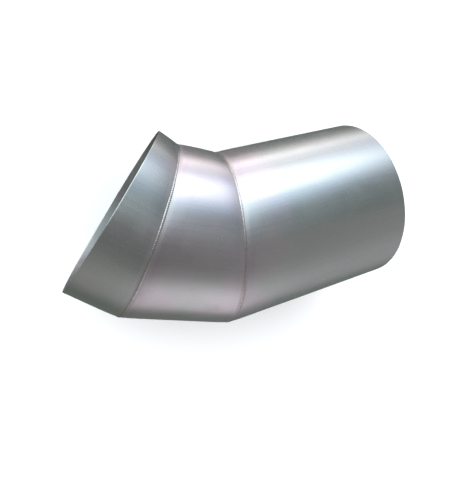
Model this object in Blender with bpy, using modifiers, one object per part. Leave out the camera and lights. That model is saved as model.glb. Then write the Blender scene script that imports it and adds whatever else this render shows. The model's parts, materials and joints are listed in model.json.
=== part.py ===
"""A flue elbow for 150 mm pipe, turned through 45 degrees in two mitre joints.

It is made as a tinsmith makes it. Three strips of stainless sheet are rolled into tubes, each tube is
closed by a weld along its length, and the tubes are cut on the mitre and joined by two ring welds.
The short inlet collar and the gore in the middle make the bend, and the outlet pipe has a straight tail.

Metres, +Z up. The elbow lies on its side with its bend flat. +X runs along the outlet pipe to its open
end, and the inlet collar turns away towards -X and +Y. The origin is below the middle of the whole box.
"""

import math

import bmesh
import bpy
from mathutils import Matrix, Vector

# Driving dimensions
OUTER_RADIUS = 0.075  # 150 mm pipe, measured over the outside of the sheet
SHEET = 0.001  # thickness of the sheet
BEND_RADIUS = 0.160  # from the centre of the bend to the middle of the pipe
JOINT_TURN = math.radians(22.5)  # what each of the two mitre joints turns
OUTLET_TAIL = 0.115  # straight pipe beyond the end of the bend
BEAD_RADIUS = 0.0008  # a weld bead fills the gap through the wall and stands proud on both sides
CLEARANCE = 0.0003  # between a bead and the sheet edges, and between two beads

# Where each tube's lengthwise weld runs, as an angle round its axis from +Y towards +Z.
# The welds are staggered, so that no two of them meet at a ring weld.
COLLAR_WELD_ANGLE = math.radians(215.0)
GORE_WELD_ANGLE = math.radians(325.0)
OUTLET_WELD_ANGLE = math.radians(215.0)

# How finely it is made
TUBE_SIDES = 96
BEAD_RESOLUTION = 2  # eight sides round a bead
SMOOTH_BELOW = math.radians(30.0)

# Sizes that follow from them
MITRE = JOINT_TURN / 2
HALF_GORE = BEND_RADIUS * math.tan(MITRE)
COLLAR_LENGTH = HALF_GORE
GORE_LENGTH = 2 * HALF_GORE
OUTLET_LENGTH = HALF_GORE + OUTLET_TAIL
MID_WALL = OUTER_RADIUS - SHEET / 2
BEAD_REACH = MID_WALL + BEAD_RADIUS
ROOT_GAP = 2 * (BEAD_RADIUS + CLEARANCE)

# The centreline in plan, with the outlet's mitre joint at zero
OUTLET_HEADING = 0.0
GORE_HEADING = OUTLET_HEADING - JOINT_TURN
COLLAR_HEADING = GORE_HEADING - JOINT_TURN


def along(heading, length):
    """The step of this length in plan, on this heading."""
    return Vector((length * math.cos(heading), length * math.sin(heading), 0.0))


OUTLET_JOINT = Vector((0.0, 0.0, 0.0))
COLLAR_JOINT = OUTLET_JOINT - along(GORE_HEADING, GORE_LENGTH)
COLLAR_MOUTH = COLLAR_JOINT - along(COLLAR_HEADING, COLLAR_LENGTH)

# The box round the whole elbow, from which its origin is set
BOX_LOW_X = COLLAR_MOUTH.x + OUTER_RADIUS * math.sin(COLLAR_HEADING)
BOX_HIGH_X = OUTLET_LENGTH
BOX_LOW_Y = -BEAD_REACH
BOX_HIGH_Y = COLLAR_MOUTH.y + OUTER_RADIUS * math.cos(COLLAR_HEADING)
ORIGIN_SHIFT = Vector((-(BOX_LOW_X + BOX_HIGH_X) / 2, -(BOX_LOW_Y + BOX_HIGH_Y) / 2, BEAD_REACH))


def clear_scene():
    for obj in list(bpy.data.objects):
        bpy.data.objects.remove(obj, do_unlink=True)


def new_collection(name):
    collection = bpy.data.collections.new(name)
    bpy.context.scene.collection.children.link(collection)
    return collection


def metal(name, colour, roughness):
    material = bpy.data.materials.new(name)
    material.use_nodes = True
    shader = material.node_tree.nodes["Principled BSDF"]
    shader.inputs["Base Color"].default_value = (*colour, 1.0)
    shader.inputs["Metallic"].default_value = 1.0
    shader.inputs["Roughness"].default_value = roughness
    return material


def add_object(name, data, collection, parent, location, heading):
    obj = bpy.data.objects.new(name, data)
    collection.objects.link(obj)
    obj.parent = parent
    obj.location = location
    obj.rotation_euler.z = heading
    return obj


def cutter_box(name, size, centre, collection, parent, location, heading):
    """A box for cutting, with its middle at centre in the turned frame that starts at location."""
    shape = bmesh.new()
    bmesh.ops.create_cube(shape, size=1.0, matrix=centre @ Matrix.Diagonal((*size, 1.0)))
    mesh = bpy.data.meshes.new(name)
    shape.to_mesh(mesh)
    shape.free()
    obj = add_object(name, mesh, collection, parent, location, heading)
    obj.hide_render = True
    obj.display_type = "WIRE"
    return obj


def mitre_cutters(name, joint, heading, collection, parent):
    """Two blocks either side of a mitre joint. Each trims the tube that comes from its far side."""
    block = Vector((4 * OUTER_RADIUS, 4 * OUTER_RADIUS, 4 * OUTER_RADIUS))
    shift = block.x / 2 - ROOT_GAP / 2
    return [
        cutter_box(
            f"{name}_{side_name}", block, Matrix.Translation((side * shift, 0, 0)),
            collection, parent, joint, heading,
        )
        for side_name, side in (("downstream", 1), ("upstream", -1))
    ]


def slit_cutter(name, start, heading, length, angle, collection, parent):
    """A thin bar that opens the tube along its length, where its lengthwise weld goes."""
    size = Vector((length + 2 * OUTER_RADIUS, 6 * SHEET, ROOT_GAP))
    centre = (
        Matrix.Rotation(angle, 4, "X")
        @ Matrix.Translation((length / 2, MID_WALL, 0))
    )
    return cutter_box(name, size, centre, collection, parent, start, heading)


def rolled_tube(name, start, heading, length, first_cut, last_cut, cutters, material, collection, parent):
    """A tube of sheet along its local X axis, left overlong at each end that a cutter trims."""
    spare = OUTER_RADIUS
    low = -spare if first_cut else 0.0
    high = length + (spare if last_cut else 0.0)
    shape = bmesh.new()
    bmesh.ops.create_cone(
        shape, cap_ends=False, segments=TUBE_SIDES,
        radius1=OUTER_RADIUS, radius2=OUTER_RADIUS, depth=high - low,
        matrix=Matrix.Translation(((low + high) / 2, 0, 0)) @ Matrix.Rotation(math.pi / 2, 4, "Y"),
    )
    bmesh.ops.recalc_face_normals(shape, faces=shape.faces)
    mesh = bpy.data.meshes.new(name)
    shape.to_mesh(mesh)
    shape.free()
    mesh.materials.append(material)
    mesh.shade_smooth()
    mesh.set_sharp_from_angle(angle=SMOOTH_BELOW)
    tube = add_object(name, mesh, collection, parent, start, heading)
    wall = tube.modifiers.new("sheet", "SOLIDIFY")
    wall.thickness = SHEET
    wall.offset = -1.0
    wall.use_even_offset = True
    for cutter in filter(None, [first_cut, last_cut, *cutters]):
        cut = tube.modifiers.new(cutter.name, "BOOLEAN")
        cut.operation = "DIFFERENCE"
        cut.solver = "EXACT"
        cut.object = cutter
    return tube


def bead_curve(name, points, closed, material, collection, parent, location, heading):
    """A round weld bead along a line of points."""
    curve = bpy.data.curves.new(name, "CURVE")
    curve.dimensions = "3D"
    curve.bevel_depth = BEAD_RADIUS
    curve.bevel_resolution = BEAD_RESOLUTION
    curve.use_fill_caps = not closed
    spline = curve.splines.new("POLY")
    spline.points.add(len(points) - 1)
    for point, place in zip(spline.points, points):
        point.co = (*place, 1.0)
    spline.use_cyclic_u = closed
    spline.use_smooth = True
    curve.materials.append(material)
    return add_object(name, curve, collection, parent, location, heading)


def ring_weld(name, joint, heading, material, collection, parent):
    """The bead round a mitre joint: an ellipse, because the joint cuts the pipe at a slant."""
    half_width = MID_WALL / math.cos(MITRE)
    turns = [2 * math.pi * step / TUBE_SIDES for step in range(TUBE_SIDES)]
    points = [Vector((0.0, half_width * math.cos(t), MID_WALL * math.sin(t))) for t in turns]
    return bead_curve(name, points, True, material, collection, parent, joint, heading)


def lengthwise_weld(name, start, heading, length, angle, first_mitred, last_mitred, material, collection, parent):
    """The straight bead that closes a rolled tube, kept clear of the ring weld at a mitred end."""
    across = MID_WALL * math.cos(angle)
    slant = across * math.tan(MITRE)
    clear = (2 * BEAD_RADIUS + CLEARANCE) / math.cos(MITRE)
    first = slant + clear if first_mitred else 0.0
    last = length - slant - clear if last_mitred else length
    points = [Vector((x, across, MID_WALL * math.sin(angle))) for x in (first, last)]
    return bead_curve(name, points, False, material, collection, parent, start, heading)


def build():
    clear_scene()
    parts = new_collection("flue_elbow")
    cutters = new_collection("cutters")
    sheet = metal("satin_stainless_sheet", (0.60, 0.59, 0.58), 0.36)
    bead = metal("weld_bead_metal", (0.68, 0.67, 0.66), 0.28)

    base = bpy.data.objects.new("elbow_centreline", None)
    parts.objects.link(base)
    base.location = ORIGIN_SHIFT

    ring_headings = {"collar": COLLAR_HEADING + MITRE, "outlet": GORE_HEADING + MITRE}
    collar_after, collar_before = mitre_cutters(
        "collar_mitre", COLLAR_JOINT, ring_headings["collar"], cutters, base
    )
    outlet_after, outlet_before = mitre_cutters(
        "outlet_mitre", OUTLET_JOINT, ring_headings["outlet"], cutters, base
    )

    # name, start, heading, length, cutter at its start, cutter at its end, angle of its lengthwise weld
    tubes = (
        ("inlet_collar", COLLAR_MOUTH, COLLAR_HEADING, COLLAR_LENGTH, None, collar_after, COLLAR_WELD_ANGLE),
        ("middle_gore", COLLAR_JOINT, GORE_HEADING, GORE_LENGTH, collar_before, outlet_after, GORE_WELD_ANGLE),
        ("outlet_pipe", OUTLET_JOINT, OUTLET_HEADING, OUTLET_LENGTH, outlet_before, None, OUTLET_WELD_ANGLE),
    )
    for name, start, heading, length, first_cut, last_cut, angle in tubes:
        slit = slit_cutter(f"{name}_slit", start, heading, length, angle, cutters, base)
        rolled_tube(name, start, heading, length, first_cut, last_cut, [slit], sheet, parts, base)
        lengthwise_weld(
            f"{name}_seam_weld", start, heading, length, angle,
            first_cut is not None, last_cut is not None, bead, parts, base,
        )

    ring_weld("collar_ring_weld", COLLAR_JOINT, ring_headings["collar"], bead, parts, base)
    ring_weld("outlet_ring_weld", OUTLET_JOINT, ring_headings["outlet"], bead, parts, base)


build()
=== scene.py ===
# %% [markdown]
# # A flue elbow in welded stainless sheet
#
# A flue elbow carries hot gas round a corner. This one is made the way a small workshop makes it: three
# strips of stainless sheet are rolled into tubes, each tube is closed by a weld along its length, the ends
# are cut on the mitre, and two ring welds join them. The bend turns 45 degrees in two steps of 22.5.
#
# This lesson dresses that elbow. The frame gives the true sizes and places. Here each tube gets its rolled
# surface, its deburred edges and its satin finish, and each weld gets its ripples.

# %% Load the frame
import json
import math
from dataclasses import dataclass

import bpy
from mathutils import Matrix, Vector


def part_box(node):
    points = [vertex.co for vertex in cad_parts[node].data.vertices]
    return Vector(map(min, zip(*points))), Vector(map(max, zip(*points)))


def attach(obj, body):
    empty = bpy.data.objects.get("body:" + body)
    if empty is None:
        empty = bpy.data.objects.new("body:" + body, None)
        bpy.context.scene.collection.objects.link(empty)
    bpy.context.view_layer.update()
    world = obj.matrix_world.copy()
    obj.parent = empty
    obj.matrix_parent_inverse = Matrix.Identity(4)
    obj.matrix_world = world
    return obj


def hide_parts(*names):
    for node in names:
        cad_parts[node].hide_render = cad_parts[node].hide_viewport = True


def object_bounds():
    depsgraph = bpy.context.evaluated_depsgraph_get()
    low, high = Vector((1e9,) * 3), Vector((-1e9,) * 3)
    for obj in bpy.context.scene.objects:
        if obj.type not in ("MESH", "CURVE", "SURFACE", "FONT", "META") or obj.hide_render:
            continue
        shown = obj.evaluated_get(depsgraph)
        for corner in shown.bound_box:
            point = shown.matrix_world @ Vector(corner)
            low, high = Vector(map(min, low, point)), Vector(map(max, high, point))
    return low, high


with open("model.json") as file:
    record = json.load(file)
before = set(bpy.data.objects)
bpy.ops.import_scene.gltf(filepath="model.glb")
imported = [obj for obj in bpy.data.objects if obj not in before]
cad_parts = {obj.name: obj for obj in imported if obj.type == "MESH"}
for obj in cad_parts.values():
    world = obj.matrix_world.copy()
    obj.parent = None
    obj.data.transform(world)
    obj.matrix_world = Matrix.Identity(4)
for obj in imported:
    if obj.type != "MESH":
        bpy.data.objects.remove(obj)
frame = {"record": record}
cad_low, cad_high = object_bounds()
print("frame box in mm:", [round(1000 * side, 1) for side in cad_high - cad_low])

# %% [markdown]
# ## Where things are
#
# Everything is measured from the frame, so that nothing has to be fitted by eye. A tube's box is as high as
# the pipe is wide. The middle of a ring weld's box is the middle of its mitre joint. Headings are angles in
# plan: the outlet runs along X, and each joint upstream of it turns by the same step.

# %% Pipe, joints and ends
MM = 0.001
JOINT_TURN = math.radians(22.5)
MITRE = JOINT_TURN / 2
SHEET = 1.0 * MM


def box_middle(node):
    low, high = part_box(node)
    return (low + high) / 2


def mount_point(name):
    mount = next(m for m in frame["record"]["mounts"] if m["name"] == name)
    return Vector(mount["pos_m"])


pipe_low, pipe_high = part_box("outlet_pipe")
PIPE_RADIUS = (pipe_high.z - pipe_low.z) / 2
AXIS_HEIGHT = (pipe_high.z + pipe_low.z) / 2
OUTLET_JOINT = box_middle("outlet_ring_weld")
COLLAR_JOINT = box_middle("collar_ring_weld")
COLLAR_MOUTH = mount_point("inlet_end")
COLLAR_MOUTH.z = AXIS_HEIGHT
OUTLET_HEADING = 0.0
GORE_HEADING = OUTLET_HEADING - JOINT_TURN
COLLAR_HEADING = GORE_HEADING - JOINT_TURN
OUTLET_LENGTH = pipe_high.x - OUTLET_JOINT.x
GORE_LENGTH = (OUTLET_JOINT - COLLAR_JOINT).length
COLLAR_LENGTH = (COLLAR_JOINT - COLLAR_MOUTH).length
print("pipe", round(2 * PIPE_RADIUS / MM, 1), "mm; collar, gore and outlet are",
      [round(length / MM, 1) for length in (COLLAR_LENGTH, GORE_LENGTH, OUTLET_LENGTH)], "mm long")

# %% [markdown]
# ## The camera
#
# The camera is close, a hand's reach from the elbow, and looks steeply down on it. The long outlet runs off
# to the right and away, and the collar's mouth just shows on the left. A camera can be placed by its own
# coordinates, but an aim point, two angles, a roll and a distance are easier to think about and to change.

# %% Camera
CAMERA_AZIMUTH = math.radians(234.92)
CAMERA_ELEVATION = math.radians(68.62)
CAMERA_ROLL = math.radians(110.41)
CAMERA_DISTANCE = 0.3420
CAMERA_LENS = 26.37
CAMERA_AIM_OFFSET = Vector((0.0090, -0.0277, 0.0))


def make_camera():
    camera = bpy.data.objects.new("camera", bpy.data.cameras.new("camera"))
    bpy.context.scene.collection.objects.link(camera)
    camera.data.lens = CAMERA_LENS
    camera.data.clip_start = 0.01
    camera.data.clip_end = 50.0
    aim = (cad_low + cad_high) / 2 + CAMERA_AIM_OFFSET
    back = Vector((
        math.sin(CAMERA_AZIMUTH) * math.cos(CAMERA_ELEVATION),
        -math.cos(CAMERA_AZIMUTH) * math.cos(CAMERA_ELEVATION),
        math.sin(CAMERA_ELEVATION),
    ))
    camera.location = aim + back * CAMERA_DISTANCE
    level = (-back).to_track_quat("-Z", "Y").to_matrix()
    camera.rotation_euler = (Matrix.Rotation(CAMERA_ROLL, 3, back) @ level).to_euler()
    bpy.context.scene.camera = camera
    print("camera at", [round(value, 3) for value in camera.location])


make_camera()

# %% [markdown]
# ## Working as by hand
#
# An operator acts on whatever is selected, and loading the frame leaves its nodes selected. So every piece
# starts with a clear selection, and its faces and edges are then picked in code, by where they are.
#
# Each piece is modelled along X with its start at zero, where the cuts are easy to think about, and is then
# turned and moved to its place inside its own mesh. Its object stays at the origin, unturned.

# %% Selecting, editing and placing
def start_clear():
    if bpy.context.mode != "OBJECT":
        bpy.ops.object.mode_set(mode="OBJECT")
    bpy.ops.object.select_all(action="DESELECT")


def start_edit(select_type="VERT"):
    bpy.ops.object.mode_set(mode="EDIT")
    bpy.ops.mesh.select_mode(type=select_type)
    bpy.ops.mesh.select_all(action="SELECT")


def leave_edit():
    bpy.ops.object.mode_set(mode="OBJECT")


def keep_transform():
    bpy.ops.object.transform_apply(location=True, rotation=True, scale=True)


def place(obj, at, heading):
    obj.data.transform(Matrix.Translation(at) @ Matrix.Rotation(heading, 4, "Z"))
    obj.data.update()


def finish_piece(obj, material, node):
    """Gives the piece its metal, hides the frame node that it stands for, hangs it on the root body and
    reports it.
    """
    obj.data.materials.append(material)
    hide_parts(node)
    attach(obj, "root")
    obj.data.calc_loop_triangles()
    print(obj.name, "has", len(obj.data.loop_triangles), "triangles")


# %% [markdown]
# ## The rolled tubes
#
# On the real elbow each tube starts as a flat strip. Rolls bend it round, which leaves faint flats along it,
# and the ring welds draw the sheet in beside them. The flats are far too shallow to see on their own, but a
# satin metal shows them, because every highlight bends where they are.
#
# A tube could be a cylinder with a texture for its marks. It is better as a true rolled sheet: the mouth
# shows the thickness of the wall, and the highlights bend at the welds as they do on metal. So a cylinder
# is the start. It is opened along its lengthwise weld, bisected on the mitre at its welded ends, and given
# rings of edges that follow the mitre, close together near the weld where the sheet bends most.

# %% What the steps need to know of a tube
@dataclass
class Tube:
    node: str
    at: Vector
    heading: float
    length: float
    first_mitred: bool
    last_mitred: bool
    rings: tuple  # the place and heading of each ring weld that it meets
    weld_angle: float  # where its lengthwise weld runs, as an angle round its axis from +Y towards +Z
    phase: float  # shifts its roll marks, so that no two tubes have the same
    warmth: float  # of its sheet's grey, because each tube is cut from a strip of its own


# %% The blank tube
TUBE_SIDES = 240
ROOT_GAP = 0.8 * MM  # left between two sheet edges, for the weld to fill
QUARTER_TURN = math.pi / 2
SQUARE_CUT = Vector((1, 0, 0))
FIRST_MITRE = Vector((math.cos(MITRE), -math.sin(MITRE), 0))
LAST_MITRE = Vector((math.cos(MITRE), math.sin(MITRE), 0))


def blank_tube(tube):
    """An open cylinder along X, overlong at a mitred end, with one strip of faces out at its weld."""
    start_clear()
    low = -PIPE_RADIUS if tube.first_mitred else 0.0
    high = tube.length + (PIPE_RADIUS if tube.last_mitred else 0.0)
    bpy.ops.mesh.primitive_cylinder_add(
        vertices=TUBE_SIDES, radius=PIPE_RADIUS, depth=high - low, end_fill_type="NOTHING",
        location=((low + high) / 2, 0, 0), rotation=(0, QUARTER_TURN, 0),
    )
    sheet = bpy.context.object
    sheet.name = sheet.data.name = f"{tube.node}_sheet"
    keep_transform()
    first_face = sheet.data.polygons[0].center
    first_angle = math.atan2(first_face.z, first_face.y)
    sheet.data.transform(Matrix.Rotation(tube.weld_angle - first_angle, 4, "X"))
    weld_line = Vector((0, math.cos(tube.weld_angle), math.sin(tube.weld_angle))) * PIPE_RADIUS
    bpy.context.tool_settings.mesh_select_mode = (False, False, True)
    for face in sheet.data.polygons:
        across = Vector((0, face.center.y, face.center.z)) - weld_line
        face.select = across.length < PIPE_RADIUS / TUBE_SIDES
    bpy.ops.object.mode_set(mode="EDIT")
    bpy.ops.mesh.delete(type="FACE")
    leave_edit()
    return sheet


# %% Mitre cuts, and rings of edges beside them
MITRE_RINGS = [ring * MM for ring in (0.7, 1.2, 1.8, 2.6, 3.8, 5.5, 8.0, 11.0, 14.0)]
PLAIN_RINGS = [ring * MM for ring in (0.6, 2.0, 5.0)]
BODY_STEP = 8 * MM


def ring_of_edges(at, across, **cut):
    bpy.ops.mesh.select_all(action="SELECT")
    bpy.ops.mesh.bisect(plane_co=at, plane_no=across, **cut)


def cut_and_ring(tube):
    """Trims the mitred ends of the tube's sheet, which is selected, and adds the rings."""
    start_edit()
    end = Vector((tube.length, 0, 0))
    if tube.first_mitred:
        ring_of_edges(FIRST_MITRE * ROOT_GAP / 2, FIRST_MITRE, clear_inner=True)
    if tube.last_mitred:
        ring_of_edges(end - LAST_MITRE * ROOT_GAP / 2, LAST_MITRE, clear_outer=True)
    first_across = FIRST_MITRE if tube.first_mitred else SQUARE_CUT
    for step in MITRE_RINGS if tube.first_mitred else PLAIN_RINGS:
        ring_of_edges(first_across * step, first_across)
    last_across = LAST_MITRE if tube.last_mitred else SQUARE_CUT
    for step in MITRE_RINGS if tube.last_mitred else PLAIN_RINGS:
        ring_of_edges(end - last_across * step, last_across)
    slant = PIPE_RADIUS * math.tan(MITRE) + MITRE_RINGS[-1]
    body_low = slant if tube.first_mitred else 0.0
    body_high = tube.length - (slant if tube.last_mitred else 0.0)
    for ring in range(1, int((body_high - body_low) / BODY_STEP)):
        ring_of_edges((body_low + ring * BODY_STEP, 0, 0), SQUARE_CUT)
    leave_edit()


# %% Roll marks
ROLL_MARK = 0.10 * MM  # depth of the flats that the rolls leave
BROAD_FLATS = 11  # round the tube: a whole number, so that they meet after a full turn
NARROW_FLATS = 19


def flats(turn, phase):
    """How deep the roll marks are at this angle, from 0 to 1. Two waves wander, so that none repeats."""
    broad = math.sin(BROAD_FLATS * turn + phase + 1.3 * math.sin(3 * turn))
    narrow = math.sin(NARROW_FLATS * turn + 2 * phase + 2 * math.sin(2 * turn))
    return 0.5 + 0.25 * (broad + narrow)


# %% Weld pull
WELD_PULL = 0.60 * MM  # the most that a ring weld draws the sheet in
PULL_SWING = 0.08  # the share of it that comes and goes round the weld
PULL_WAVES = 5
PULL_REACH = 20 * MM


def pull_share(beyond):
    """How much of the pull is left at this distance from the weld: steep beside it, none at its reach."""
    return max(0.0, 1 - beyond / PULL_REACH) ** 3


def press_marks(piece, tube):
    """Draws a tube's sheet or its bead inwards, by the roll marks and by the pull of the ring welds."""
    end = Vector((tube.length, 0, 0))
    for vertex in piece.data.vertices:
        turn = math.atan2(vertex.co.z, vertex.co.y)
        depth = ROLL_MARK * flats(turn, tube.phase)
        pull = WELD_PULL * (1 - PULL_SWING + PULL_SWING * math.sin(PULL_WAVES * turn + tube.phase))
        if tube.first_mitred:
            depth += pull * pull_share(vertex.co.dot(FIRST_MITRE))
        if tube.last_mitred:
            depth += pull * pull_share((end - vertex.co).dot(LAST_MITRE))
        shrink = 1 - depth / PIPE_RADIUS
        vertex.co.y *= shrink
        vertex.co.z *= shrink


# %% Thickness and deburred edges
DEBURR = 0.14 * MM
SMOOTH_BELOW = math.radians(40)


def rolled_sheet(tube):
    sheet = blank_tube(tube)
    cut_and_ring(tube)
    press_marks(sheet, tube)
    wall = sheet.modifiers.new("sheet", "SOLIDIFY")
    wall.thickness = SHEET
    wall.offset = -1.0
    wall.use_even_offset = True
    deburr = sheet.modifiers.new("deburr", "BEVEL")
    deburr.width = DEBURR
    deburr.segments = 2
    deburr.limit_method = "ANGLE"
    deburr.angle_limit = SMOOTH_BELOW
    for modifier in (wall, deburr):
        bpy.ops.object.modifier_apply(modifier=modifier.name)
    bpy.ops.object.shade_smooth_by_angle(angle=SMOOTH_BELOW)
    place(sheet, tube.at, tube.heading)
    return sheet


# %% [markdown]
# ## The weld beads
#
# A welder moves in small steps, and each step leaves a crescent of metal that overlaps the last, like a row
# of fallen coins. The bead stands a fraction of a millimetre proud, outside and inside the wall.
#
# Each bead is one closed body, swept from a flat oval: a spin makes the two rings, which are stretched to
# follow the slanted cut, and a screw without any turn makes the straight ones. Both have several steps for
# each ripple, so that the crescents are real shape and catch the light.

# %% What every bead shares
BEAD_HALF_WIDTH = 1.5 * MM
BEAD_HALF_HEIGHT = 0.61 * MM
BEAD_SIDES = 16
MID_WALL = PIPE_RADIUS - SHEET / 2
RIPPLE = 1.5 * MM
RIPPLE_HEIGHT = 0.05 * MM
RIPPLE_BOW = 0.8  # how far a crescent's middle runs ahead of its ends, in ripples
STEPS_PER_RIPPLE = 6


def bead_oval(name, at, rotation):
    """The bead's flat oval outline, ready to be swept."""
    start_clear()
    bpy.ops.mesh.primitive_circle_add(vertices=BEAD_SIDES, radius=1.0)
    bead = bpy.context.object
    bead.name = bead.data.name = name
    bead.scale = (BEAD_HALF_WIDTH, BEAD_HALF_HEIGHT, 1)
    keep_transform()
    bead.rotation_euler = rotation
    bead.location = at
    keep_transform()
    return bead


def ripple(run, across):
    """How far the surface stands up, at this distance along the bead and share of its half width."""
    crown = max(0.0, 1 - across * across)
    return RIPPLE_HEIGHT * crown * math.sin(2 * math.pi * (run / RIPPLE - RIPPLE_BOW * crown))


# %% Ring welds
RING_MIDDLE = MID_WALL - 0.53 * MM  # a ring weld sinks with the sheet that it draws in
SAME_POINT = 0.01 * MM


def ring_weld(name, at, heading):
    bead = bead_oval(name, (0, RING_MIDDLE, 0), (0, 0, 0))
    start_edit()
    steps = STEPS_PER_RIPPLE * round(2 * math.pi * RING_MIDDLE / RIPPLE)
    bpy.ops.mesh.spin(steps=steps, angle=2 * math.pi, center=(0, 0, 0), axis=(1, 0, 0))
    bpy.ops.mesh.select_all(action="SELECT")
    bpy.ops.mesh.remove_doubles(threshold=SAME_POINT)
    bpy.ops.mesh.normals_make_consistent(inside=False)
    leave_edit()
    for vertex in bead.data.vertices:
        turn = math.atan2(vertex.co.z, vertex.co.y)
        out = math.hypot(vertex.co.y, vertex.co.z) - RING_MIDDLE
        swell = ripple(turn * RING_MIDDLE, vertex.co.x / BEAD_HALF_WIDTH) * out / BEAD_HALF_HEIGHT
        radius = RING_MIDDLE + out + swell
        vertex.co.y = radius * math.cos(turn) / math.cos(MITRE)
        vertex.co.z = radius * math.sin(turn)
    bpy.ops.object.shade_smooth()
    place(bead, at, heading)
    return bead


# %% Lengthwise welds
RING_OVERLAP = 0.3 * MM  # a lengthwise bead stops this far from the middle of a ring weld, inside it
RIM_INSET = 0.05 * MM


def lengthwise_weld(tube):
    angle = tube.weld_angle
    slant = MID_WALL * math.cos(angle) * math.tan(MITRE)
    first = slant + RING_OVERLAP if tube.first_mitred else RIM_INSET
    last = tube.length - (slant + RING_OVERLAP if tube.last_mitred else RIM_INSET)
    bead = bead_oval(f"{tube.node}_seam_bead", (0, 0, 0), (QUARTER_TURN, 0, QUARTER_TURN))
    sweep = bead.modifiers.new("sweep", "SCREW")
    sweep.axis = "X"
    sweep.angle = 0.0
    sweep.screw_offset = last - first
    sweep.steps = sweep.render_steps = STEPS_PER_RIPPLE * round((last - first) / RIPPLE)
    bpy.ops.object.modifier_apply(modifier=sweep.name)
    for vertex in bead.data.vertices:
        swell = ripple(vertex.co.x, vertex.co.y / BEAD_HALF_WIDTH)
        vertex.co.z += swell * vertex.co.z / BEAD_HALF_HEIGHT
    start_edit("EDGE")
    bpy.ops.mesh.select_all(action="DESELECT")
    bpy.ops.mesh.select_non_manifold()
    bpy.ops.mesh.fill_holes(sides=BEAD_SIDES)
    bpy.ops.mesh.select_all(action="SELECT")
    bpy.ops.mesh.normals_make_consistent(inside=False)
    leave_edit()
    start = Vector((first, MID_WALL * math.cos(angle), MID_WALL * math.sin(angle)))
    bead.data.transform(Matrix.Translation(start) @ Matrix.Rotation(angle - QUARTER_TURN, 4, "X"))
    press_marks(bead, tube)
    bpy.ops.object.shade_smooth_by_angle(angle=SMOOTH_BELOW)
    place(bead, tube.at, tube.heading)
    return bead


# %% [markdown]
# ## Wiring a finish
#
# A finish is a tree of nodes. A few short helpers let each finish below read as a list of steps. They add a
# node, join a socket or set it, and give back what comes out.

# %% Wiring helpers
class Wiring:
    """Adds nodes to one tree and joins them."""

    def __init__(self, tree):
        self.tree = tree

    def add(self, kind, **settings):
        node = self.tree.nodes.new("ShaderNode" + kind)
        for key, value in settings.items():
            setattr(node, key, value)
        return node

    def feed(self, socket, value):
        if isinstance(value, bpy.types.NodeSocket):
            self.tree.links.new(value, socket)
        else:
            socket.default_value = value

    def math(self, operation, *values):
        node = self.add("Math", operation=operation)
        for socket, value in zip(node.inputs, values):
            self.feed(socket, value)
        return node.outputs[0]

    def vector(self, operation, *values):
        node = self.add("VectorMath", operation=operation)
        for socket, value in zip(node.inputs, values):
            self.feed(socket, value)
        return node.outputs["Value" if operation in ("DOT_PRODUCT", "DISTANCE", "LENGTH") else "Vector"]

    def rise(self, value, low, high):
        """Goes smoothly from 0 at low to 1 at high."""
        node = self.add("MapRange", interpolation_type="SMOOTHSTEP")
        self.feed(node.inputs["Value"], value)
        node.inputs["From Min"].default_value = low
        node.inputs["From Max"].default_value = high
        return node.outputs["Result"]

    def span(self, value, stops):
        """Goes from 0 at the first stop to 1 at the second, and from 1 at the third to 0 at the last."""
        start, full, fall, end = stops
        return self.math("MULTIPLY", self.rise(value, start, full), self.rise(value, end, fall))

    def noise(self, where, scale, detail):
        """Smooth noise around 0.5. A scale of three numbers stretches it."""
        node = self.add("TexNoise")
        if isinstance(scale, tuple):
            where = self.vector("MULTIPLY", where, scale)
            scale = 1.0
        self.feed(node.inputs["Vector"], where)
        node.inputs["Scale"].default_value = scale
        node.inputs["Detail"].default_value = detail
        return node.outputs["Fac"]

    def mix(self, factor, first, second, blend="MIX"):
        node = self.add("Mix", data_type="RGBA", blend_type=blend)
        self.feed(node.inputs["Factor"], factor)
        self.feed(node.inputs[6], first if isinstance(first, bpy.types.NodeSocket) else (*first, 1))
        self.feed(node.inputs[7], second if isinstance(second, bpy.types.NodeSocket) else (*second, 1))
        return node.outputs[2]

    def ramp(self, position, stops):
        node = self.add("ValToRGB")
        band = node.color_ramp
        band.interpolation = "EASE"
        while len(band.elements) < len(stops):
            band.elements.new(0.5)
        for element, (stop, colour) in zip(band.elements, stops):
            element.position = stop
            element.color = (*colour, 1)
        self.feed(node.inputs["Fac"], position)
        return node.outputs["Color"]

    def bump(self, height, depth, normal=None):
        """Raises the surface by up to depth metres where height is 1."""
        node = self.add("Bump")
        node.inputs["Distance"].default_value = depth
        self.feed(node.inputs["Height"], height)
        if normal is not None:
            self.feed(node.inputs["Normal"], normal)
        return node.outputs["Normal"]


def new_metal(name):
    """A metal with nothing on it yet, with its shader, its wiring and the coordinates of the object."""
    material = bpy.data.materials.new(name)
    material.use_nodes = True
    shader = material.node_tree.nodes["Principled BSDF"]
    shader.inputs["Metallic"].default_value = 1.0
    wiring = Wiring(material.node_tree)
    where = wiring.add("TexCoord").outputs["Object"]
    return material, shader, wiring, where


def along_the_tube(wiring, where, tube):
    """Turns and moves the coordinates, so that X runs along the middle of the tube from its start."""
    node = wiring.add("Mapping", vector_type="TEXTURE")
    node.inputs["Location"].default_value = tube.at
    node.inputs["Rotation"].default_value = (0, 0, tube.heading)
    wiring.feed(node.inputs["Vector"], where)
    return node.outputs["Vector"]


def from_ring_weld(wiring, where, at, heading):
    """Distance from the plane of a mitre joint, which its ring weld follows."""
    across = Vector((math.cos(heading), math.sin(heading), 0))
    beyond = wiring.vector("DOT_PRODUCT", where, across)
    return wiring.math("ABSOLUTE", wiring.math("SUBTRACT", beyond, across.dot(at)))


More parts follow.
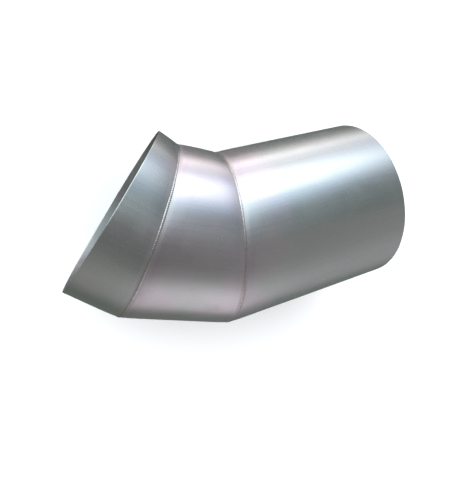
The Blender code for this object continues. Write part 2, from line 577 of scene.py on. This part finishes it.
def from_lengthwise_weld(wiring, tube_where, angle):
    """Distance from the line that a lengthwise weld follows."""
    flat = wiring.vector("MULTIPLY", tube_where, (0, 1, 1))
    line = (0, MID_WALL * math.cos(angle), MID_WALL * math.sin(angle))
    return wiring.vector("DISTANCE", flat, line)


# %% [markdown]
# ## Satin stainless sheet
#
# The sheet is stainless steel with a satin mill finish. From far off it is an even grey that blurs what it
# mirrors. From near by it has a fine grain along the strip, cloudy patches where the rolls and hands have
# polished or dulled it, and slow drifts of tint between a cool green grey and a warm one. Beside each weld
# the heat has left a thin dark line of oxide, then straw, then a breath of violet, all gone within about a
# centimetre. The inside is rougher, and its grey is darker.
#
# Steel's colour comes from what it mirrors, so the base stays a plain grey and most of the work is in
# roughness and bump. The grain follows each tube, so each tube has its own copy of the finish, with its
# coordinates turned to run along it.

# %% Greys, grain and patches
STEEL_COOL = (0.565, 0.605, 0.590)
STEEL_WARM = (0.640, 0.612, 0.630)
GRAIN_GREY = (0.72, 0.72, 0.73)
SMUDGE_GREY = (0.47, 0.46, 0.45)
# the darker grey that the inside of each tube is given
INSIDE_GREY = (0.42, 0.41, 0.39)
SMOOTHEST = 0.20  # roughness of the steel before anything is added to it
FINE_GRAIN = (50, 2400, 2400)  # a noise 20 mm long and 0.4 mm wide
BROAD_GRAIN = (11, 380, 380)
CLOUDS = 60
DRIFT = 26
SMUDGES = 34
GRAIN_DEPTH = 0.0025 * MM
BROAD_DEPTH = 0.006 * MM
CLOUD_DEPTH = 0.020 * MM
INSIDE_FROM = PIPE_RADIUS - 0.55 * MM
INSIDE_ALL = PIPE_RADIUS - 0.85 * MM
COOLING = (8 * MM, 95 * MM)  # from where to where the sheet turns cooler away from a weld
COOLER_AWAY = 0.30

# %% Heat tint
HEAT_REACH = 12 * MM
HEAT_STOPS = (  # share of the reach, tint
    (0.00, (0.87, 0.83, 0.84)),
    (0.14, (0.91, 0.88, 0.89)),
    (0.25, (0.99, 0.96, 0.95)),
    (0.45, (0.97, 0.95, 1.00)),
    (0.75, (1.00, 0.99, 1.00)),
    (1.00, (1.00, 1.00, 1.00)),
)


def heat_tint(wiring, near_weld, clouds):
    """The tint that the welds have left, which reaches further in some places than in others."""
    uneven = wiring.math("MULTIPLY_ADD", clouds, 0.8, 0.6)
    reached = wiring.math("DIVIDE", wiring.math("MULTIPLY", near_weld, uneven), HEAT_REACH)
    return wiring.ramp(reached, HEAT_STOPS)


# %% Steel
def satin_steel(tube):
    """The finish of one tube."""
    material, shader, wiring, where = new_metal(f"satin_steel_{tube.node}")
    tube_where = along_the_tube(wiring, where, tube)

    fine = wiring.noise(tube_where, FINE_GRAIN, 3)
    broad = wiring.noise(tube_where, BROAD_GRAIN, 2)
    clouds = wiring.noise(tube_where, CLOUDS, 3)
    drift = wiring.noise(tube_where, DRIFT, 2)
    smudge = wiring.rise(wiring.noise(tube_where, SMUDGES, 4), 0.56, 0.72)

    from_middle = wiring.vector("LENGTH", wiring.vector("MULTIPLY", tube_where, (0, 1, 1)))
    inside = wiring.rise(from_middle, INSIDE_FROM, INSIDE_ALL)
    near_weld = from_lengthwise_weld(wiring, tube_where, tube.weld_angle)
    for ring in tube.rings:
        near_weld = wiring.math("MINIMUM", near_weld, from_ring_weld(wiring, where, *ring))

    away = wiring.rise(near_weld, *COOLING)
    drift = wiring.math("MULTIPLY_ADD", away, -COOLER_AWAY, drift)
    warm = wiring.rise(wiring.math("ADD", drift, tube.warmth), 0.38, 0.62)
    grain = wiring.rise(broad, 0.3, 0.7)
    colour = wiring.mix(warm, STEEL_COOL, STEEL_WARM)
    colour = wiring.mix(wiring.math("MULTIPLY", grain, 0.10), colour, GRAIN_GREY)
    colour = wiring.mix(wiring.math("MULTIPLY", smudge, 0.22), colour, SMUDGE_GREY)
    colour = wiring.mix(1.0, colour, heat_tint(wiring, near_weld, clouds), "MULTIPLY")
    # the inside of each tube is made a darker grey
    colour = wiring.mix(wiring.math("MULTIPLY", inside, 0.3), colour, INSIDE_GREY)
    wiring.feed(shader.inputs["Base Color"], colour)

    beside_weld = wiring.rise(near_weld, 4 * MM, 1.5 * MM)
    roughness = SMOOTHEST
    for mask, more in ((clouds, 0.10), (broad, 0.05), (smudge, 0.05), (inside, 0.10), (beside_weld, 0.08)):
        roughness = wiring.math("MULTIPLY_ADD", mask, more, roughness)
    wiring.feed(shader.inputs["Roughness"], roughness)

    normal = wiring.bump(clouds, CLOUD_DEPTH)
    normal = wiring.bump(broad, BROAD_DEPTH, normal)
    normal = wiring.bump(fine, GRAIN_DEPTH, normal)
    wiring.feed(shader.inputs["Normal"], normal)
    print(material.name, "has", len(material.node_tree.nodes), "nodes")
    return material


# %% [markdown]
# ## Weld metal
#
# A bead has been molten. It is nearly as bright as the sheet in places and stained in others, and its
# edges, which met the air hot, are stained all along. Its crescents are already shape. The finish adds the
# stain in small patches, a roughness that comes and goes with them, and a fine frost.

# %% Weld
WELD_BRIGHT = (0.570, 0.550, 0.555)
WELD_STAIN = (0.470, 0.435, 0.440)
WELD_SMOOTHEST = 0.19
WELD_PATCHES = 420
FROST = 1500
FROST_DEPTH = 0.012 * MM
EDGE_FROM = 0.45 * BEAD_HALF_WIDTH


def weld_metal(name, distance):
    """The finish of one bead. The distance function gives how far a point is from the bead's middle line."""
    material, shader, wiring, where = new_metal(name)
    edge = wiring.rise(distance(wiring, where), EDGE_FROM, BEAD_HALF_WIDTH)
    patches = wiring.noise(where, WELD_PATCHES, 3)
    stained_edge = wiring.math("MULTIPLY", edge, 0.6)
    stain = wiring.math("MAXIMUM", stained_edge, wiring.rise(patches, 0.40, 0.66))
    wiring.feed(shader.inputs["Base Color"], wiring.mix(stain, WELD_BRIGHT, WELD_STAIN))
    roughness = wiring.math("MULTIPLY_ADD", patches, 0.16, WELD_SMOOTHEST)
    roughness = wiring.math("MULTIPLY_ADD", edge, 0.10, roughness)
    wiring.feed(shader.inputs["Roughness"], roughness)
    wiring.feed(shader.inputs["Normal"], wiring.bump(wiring.noise(where, FROST, 3), FROST_DEPTH))
    print(name, "has", len(material.node_tree.nodes), "nodes")
    return material


# %% [markdown]
# ## Making the three tubes
#
# Each tube stands for one node of the frame and takes its place. Its lengthwise weld is turned away from
# its neighbour's, so that no two of them meet at a ring weld, which would leave a weak spot.

# %% The tubes and their lengthwise welds
COLLAR_RING = (COLLAR_JOINT, COLLAR_HEADING + MITRE)
OUTLET_RING = (OUTLET_JOINT, GORE_HEADING + MITRE)
TUBES = (
    Tube(
        "inlet_collar", COLLAR_MOUTH, COLLAR_HEADING, COLLAR_LENGTH, first_mitred=False, last_mitred=True,
        rings=(COLLAR_RING,), weld_angle=math.radians(215), phase=0.4, warmth=-0.09,
    ),
    Tube(
        "middle_gore", COLLAR_JOINT, GORE_HEADING, GORE_LENGTH, first_mitred=True, last_mitred=True,
        rings=(COLLAR_RING, OUTLET_RING), weld_angle=math.radians(325), phase=2.1, warmth=0.12,
    ),
    Tube(
        "outlet_pipe", OUTLET_JOINT, OUTLET_HEADING, OUTLET_LENGTH, first_mitred=True, last_mitred=False,
        rings=(OUTLET_RING,), weld_angle=math.radians(215), phase=4.4, warmth=0.05,
    ),
)


def make_tube(tube):
    finish_piece(rolled_sheet(tube), satin_steel(tube), tube.node)

    def distance(wiring, where):
        return from_lengthwise_weld(wiring, along_the_tube(wiring, where, tube), tube.weld_angle)

    metal = weld_metal(f"weld_metal_{tube.node}", distance)
    finish_piece(lengthwise_weld(tube), metal, f"{tube.node}_seam_weld")


for each_tube in TUBES:
    make_tube(each_tube)

# %% The ring welds
def make_ring(name, at, heading):
    def distance(wiring, where):
        return from_ring_weld(wiring, where, at, heading)

    metal = weld_metal(f"weld_metal_{name}", distance)
    finish_piece(ring_weld(f"{name}_bead", at, heading), metal, f"{name}_weld")


make_ring("collar_ring", *COLLAR_RING)
make_ring("outlet_ring", *OUTLET_RING)

# %% [markdown]
# ## Floor and light
#
# Satin steel is a mirror that needs glasses: it shows soft bands of whatever stands round it. In a small
# studio that is a long bright box on one side, low and half over the metal, a dimmer room all round, a weak
# glow from the front, and a few darker places. A part of the box leans further over. It is mostly the beads
# and the drawn-in sheet beside them that face it, so they light up as thin white lines.
#
# The bands are painted straight into the world, because a world is mirrored the same way by every part of
# the elbow and casts no hard shadow.
#
# The floor is there for the eye and for a soft shadow. It would spoil the steel's edges with a white
# mirror image, so it stays out of reflections, and so does the sun that only lights the floor.

# %% Floor
FLOOR_SIZE = 12
FLOOR_GREY = (0.86, 0.86, 0.86, 1)


def make_floor():
    start_clear()
    bpy.ops.mesh.primitive_plane_add(size=FLOOR_SIZE)
    floor = bpy.context.object
    floor.name = "studio_floor"
    material = bpy.data.materials.new("pale_floor")
    material.use_nodes = True
    shader = material.node_tree.nodes["Principled BSDF"]
    shader.inputs["Base Color"].default_value = FLOOR_GREY
    shader.inputs["Roughness"].default_value = 0.9
    shader.inputs["Specular IOR Level"].default_value = 0.0
    floor.data.materials.append(material)
    floor.visible_glossy = False
    print("floor laid")


make_floor()

# %% Light by elevation, on the bright side and on the dim side
BRIGHT_SIDE = (  # elevation in degrees, brightness, tint
    (-90, 0.15, (1, 1, 1)),
    (-34, 0.32, (1, 0.97, 0.96)),
    (-23, 0.9, (1, 0.93, 0.93)),
    (-14, 2.3, (1, 0.93, 0.95)),
    (-6, 1.5, (0.97, 0.93, 1)),
    (2, 1.15, (0.93, 0.92, 1)),
    (10, 1.6, (0.95, 0.97, 1)),
    (18, 2.8, (1, 1, 1)),
    (34, 2.7, (0.95, 1, 1)),
    (42, 1.45, (0.74, 0.89, 1)),
    (52, 0.95, (0.75, 0.9, 1)),
    (64, 0.50, (0.82, 0.9, 1)),
    (76, 0.31, (0.92, 0.96, 1)),
    (90, 0.28, (1, 1, 1)),
)
DIM_SIDE = (
    (-90, 0.13, (0.85, 1, 0.9)),
    (-32, 0.20, (0.88, 1, 0.93)),
    (-10, 0.40, (1, 0.98, 1)),
    (8, 0.42, (1, 0.98, 1)),
    (30, 0.32, (1, 0.98, 0.98)),
    (55, 0.27, (1, 0.98, 0.98)),
    (90, 0.26, (1, 1, 1)),
)


def bands(stops):
    """Turns elevations and brightnesses into places and colours on a ramp from straight down to up."""
    return [
        ((elevation + 90) / 180, [brightness * part for part in tint])
        for elevation, brightness, tint in stops
    ]


# %% Where the lights and the dark places are
# A span in degrees says where a light begins, where it is full, where it fades and where it ends.
BOX_AZIMUTHS = (30, 64, 130, 170)
FRONT_AZIMUTHS = (-135, -100, -90, -60)
FRONT_ELEVATIONS = (-25, -2, 14, 42)
FRONT_LIGHT = (0.46, 0.4232, 0.46)
WINDOW = (0.35, 0.31, 0.88)  # the way to a high window with a blue sky in it
WINDOW_SPREAD = (0.86, 1.0)  # cosine of the angle from it, where its light begins and where it is full
WINDOW_LIGHT = (0.07, 0.10, 0.13)
LEAN_AZIMUTHS = (60, 84, 145, 175)
LEAN_ELEVATIONS = (34, 46, 70, 84)
LEAN_LIGHT = (1.5, 1.6, 1.65)
EDGE_ELEVATIONS = (-8, 12, 38, 62)
EDGE_LIGHT = (0.04, 0.15, 0.40)  # the box's edge, where its cloth is thin
DARK_PLACES = (  # the way there, its spread, how much it covers, its colour
    ((-0.22, -0.42, 0.88), (0.84, 1.0), 0.35, (0, 0, 0)),  # a high corner, the darkest
    ((-0.87, -0.50, 0.0), (0.45, 0.95), 0.30, (0.05, 0.04, 0.0)),  # a wall, level with the metal
    ((0.675, 0.095, 0.731), (0.92, 0.99), 0.27, (0.0, 0.07, 0.05)),  # a dark cloth beyond the outlet
)
BACKDROP = (1, 1, 1, 1)


def mirrored_room(wiring):
    """The colour of the room in each direction, as the steel mirrors it."""
    way = wiring.add("TexCoord").outputs["Generated"]
    split = wiring.add("SeparateXYZ")
    wiring.feed(split.inputs[0], way)
    azimuth = wiring.math("DEGREES", wiring.math("ARCTAN2", split.outputs["Y"], split.outputs["X"]))
    elevation = wiring.math("DEGREES", wiring.math("ARCSINE", split.outputs["Z"]))
    height = wiring.math("MULTIPLY_ADD", elevation, 1 / 180, 0.5)

    box = wiring.span(azimuth, BOX_AZIMUTHS)
    bright = wiring.ramp(height, bands(BRIGHT_SIDE))
    room = wiring.mix(box, wiring.ramp(height, bands(DIM_SIDE)), bright)
    front = wiring.math(
        "MULTIPLY", wiring.span(azimuth, FRONT_AZIMUTHS), wiring.span(elevation, FRONT_ELEVATIONS)
    )
    room = wiring.mix(front, room, FRONT_LIGHT, "ADD")
    window = wiring.rise(wiring.vector("DOT_PRODUCT", way, WINDOW), *WINDOW_SPREAD)
    room = wiring.mix(window, room, WINDOW_LIGHT, "ADD")
    lean = wiring.math(
        "MULTIPLY", wiring.span(azimuth, LEAN_AZIMUTHS), wiring.span(elevation, LEAN_ELEVATIONS)
    )
    room = wiring.mix(lean, room, LEAN_LIGHT, "ADD")
    edge = wiring.math("MULTIPLY", box, wiring.math("SUBTRACT", 4.0, wiring.math("MULTIPLY", box, 4.0)))
    edge = wiring.math("MULTIPLY", edge, wiring.span(elevation, EDGE_ELEVATIONS))
    room = wiring.mix(edge, room, EDGE_LIGHT, "ADD")
    for place_way, spread, cover, colour in DARK_PLACES:
        towards = wiring.rise(wiring.vector("DOT_PRODUCT", way, place_way), *spread)
        room = wiring.mix(wiring.math("MULTIPLY", towards, cover), room, colour)
    return room


# %% The studio, which the eye sees as a plain white backdrop
def make_studio():
    world = bpy.data.worlds.new("studio")
    bpy.context.scene.world = world
    world.use_nodes = True
    wiring = Wiring(world.node_tree)
    mirrored = world.node_tree.nodes["Background"]
    wiring.feed(mirrored.inputs["Color"], mirrored_room(wiring))
    seen = wiring.add("Background")
    seen.inputs["Color"].default_value = BACKDROP
    choice = wiring.add("MixShader")
    wiring.feed(choice.inputs[0], wiring.add("LightPath").outputs["Is Camera Ray"])
    wiring.feed(choice.inputs[1], mirrored.outputs[0])
    wiring.feed(choice.inputs[2], seen.outputs[0])
    wiring.feed(world.node_tree.nodes["World Output"].inputs["Surface"], choice.outputs[0])
    print("studio world has", len(world.node_tree.nodes), "nodes")


make_studio()

# %% The sun over the floor
FLOOR_SUN = 2.3
FLOOR_SUN_SPREAD = math.radians(110)


def make_floor_sun():
    sun = bpy.data.objects.new("floor_sun", bpy.data.lights.new("floor_sun", "SUN"))
    bpy.context.scene.collection.objects.link(sun)
    sun.data.energy = FLOOR_SUN
    sun.data.angle = FLOOR_SUN_SPREAD
    sun.visible_glossy = False
    print("floor sun lit")


make_floor_sun()
bpy.context.scene.view_settings.view_transform = "Standard"
